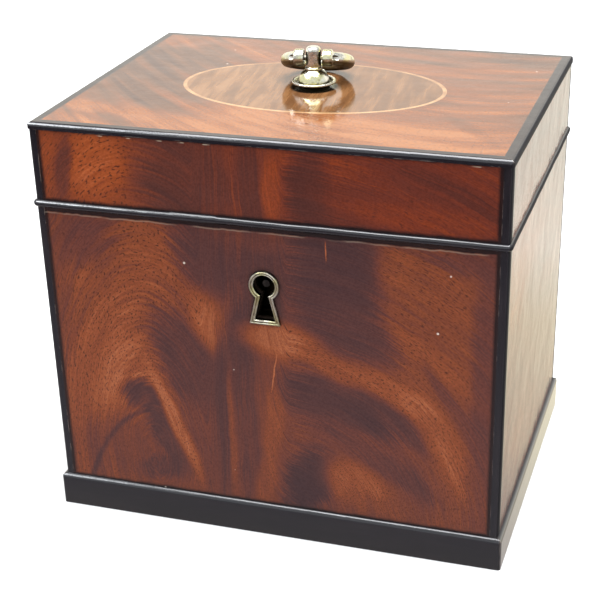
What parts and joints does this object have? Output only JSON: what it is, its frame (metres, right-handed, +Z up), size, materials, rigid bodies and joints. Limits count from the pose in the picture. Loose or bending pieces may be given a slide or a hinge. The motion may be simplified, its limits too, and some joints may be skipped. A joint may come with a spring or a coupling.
{
  "type": "tea caddy",
  "caption": "Veneered wooden tea caddy with ebonised edges, a hinged lid, an inlaid oval, a brass swing handle, a keyhole lock, a lead lining and a loose inner lid.",
  "frame": {"origin": "middle of the underside, on the table", "axes": "+Z up, -Y towards the keyhole at the front, +X to the right as seen from the front, along the longest side"},
  "size_m": [0.1426, 0.1076, 0.1398],
  "materials": {
    "mahogany_veneer": "sawn flame mahogany veneer, French polished",
    "top_veneer": "flame mahogany veneer on the lid, French polished",
    "oval_veneer": "quarter-figured mahogany, French polished",
    "boxwood": "boxwood stringing, polished",
    "ebonised_wood": "wood stained black and polished",
    "carcase_wood": "plain mahogany, sealed",
    "base_wood": "bare pine, darkened with age",
    "inner_wood": "plain mahogany, waxed",
    "knob_wood": "turned boxwood, waxed",
    "handle_brass": "cast and turned brass, aged and handled",
    "escutcheon_brass": "cast brass thread, aged",
    "lock_brass": "cast brass, dull",
    "hinge_brass": "cast brass, dull",
    "iron": "hand-filed iron, dark",
    "tea_lead": "rolled lead foil, dull grey",
    "lid_paper": "old laid paper, pasted down"
  },
  "bodies": {
    "caddy_body": {"front_board": "carcase_wood", "back_board": "carcase_wood", "left_board": "carcase_wood", "right_board": "carcase_wood", "base_board": "base_wood", "front_veneer": "mahogany_veneer", "back_veneer": "mahogany_veneer", "left_veneer": "mahogany_veneer", "right_veneer": "mahogany_veneer", "body_corner_stringing": "ebonised_wood", "front_plinth": "ebonised_wood", "back_plinth": "ebonised_wood", "left_plinth": "ebonised_wood", "right_plinth": "ebonised_wood", "escutcheon": "escutcheon_brass", "lock_case": "lock_brass", "lock_cap": "lock_brass", "key_pin": "iron", "bolt_spring": "iron", "lock_screws": "iron", "body_hinge_leaves": "hinge_brass", "hinge_pins": "iron", "body_hinge_screws": "iron", "lead_lining": "tea_lead", "ledge_strips": "carcase_wood"},
    "lock_bolt": {"lock_bolt": "iron"},
    "inner_lid": {"inner_lid": "inner_wood", "inner_lid_knob": "knob_wood"},
    "lid": {"lid_top_board": "carcase_wood", "lid_front_rail": "carcase_wood", "lid_back_rail": "carcase_wood", "lid_left_rail": "carcase_wood", "lid_right_rail": "carcase_wood", "lid_top_veneer": "top_veneer", "oval_panel": "oval_veneer", "oval_stringing": "boxwood", "lid_front_veneer": "mahogany_veneer", "lid_back_veneer": "mahogany_veneer", "lid_left_veneer": "mahogany_veneer", "lid_right_veneer": "mahogany_veneer", "lid_corner_stringing": "ebonised_wood", "front_edging": "ebonised_wood", "back_edging": "ebonised_wood", "left_edging": "ebonised_wood", "right_edging": "ebonised_wood", "front_bead": "ebonised_wood", "left_bead": "ebonised_wood", "right_bead": "ebonised_wood", "lid_paper": "lid_paper", "link_plate": "lock_brass", "link_staple": "lock_brass", "link_screws": "iron", "lid_hinge_leaves": "hinge_brass", "lid_hinge_screws": "iron", "handle_backplate": "handle_brass", "handle_pillar": "handle_brass", "handle_nut": "handle_brass", "bail_pin": "handle_brass"},
    "bail": {"bail": "handle_brass"}
  },
  "joints": [
    {"name": "lid_hinge", "type": "hinge", "parent": "caddy_body", "child": "lid", "pos_m": [0, 0.0508, 0.1018], "axis": [-1, 0, 0], "range_deg": [0, 95]},
    {"name": "bail_swing", "type": "hinge", "parent": "lid", "child": "bail", "pos_m": [-0.0005, 0, 0.1363], "axis": [0.9877, 0.1564, 0], "range_deg": [0, 222.1]},
    {"name": "bolt_slide", "type": "slide", "parent": "caddy_body", "child": "lock_bolt", "axis": [1, 0, 0], "range_m": [0, 0.004]},
    {"name": "inner_lid_lift", "type": "slide", "parent": "caddy_body", "child": "inner_lid", "axis": [0, 0, 1], "range_m": [0, 0.01]}
  ]
}
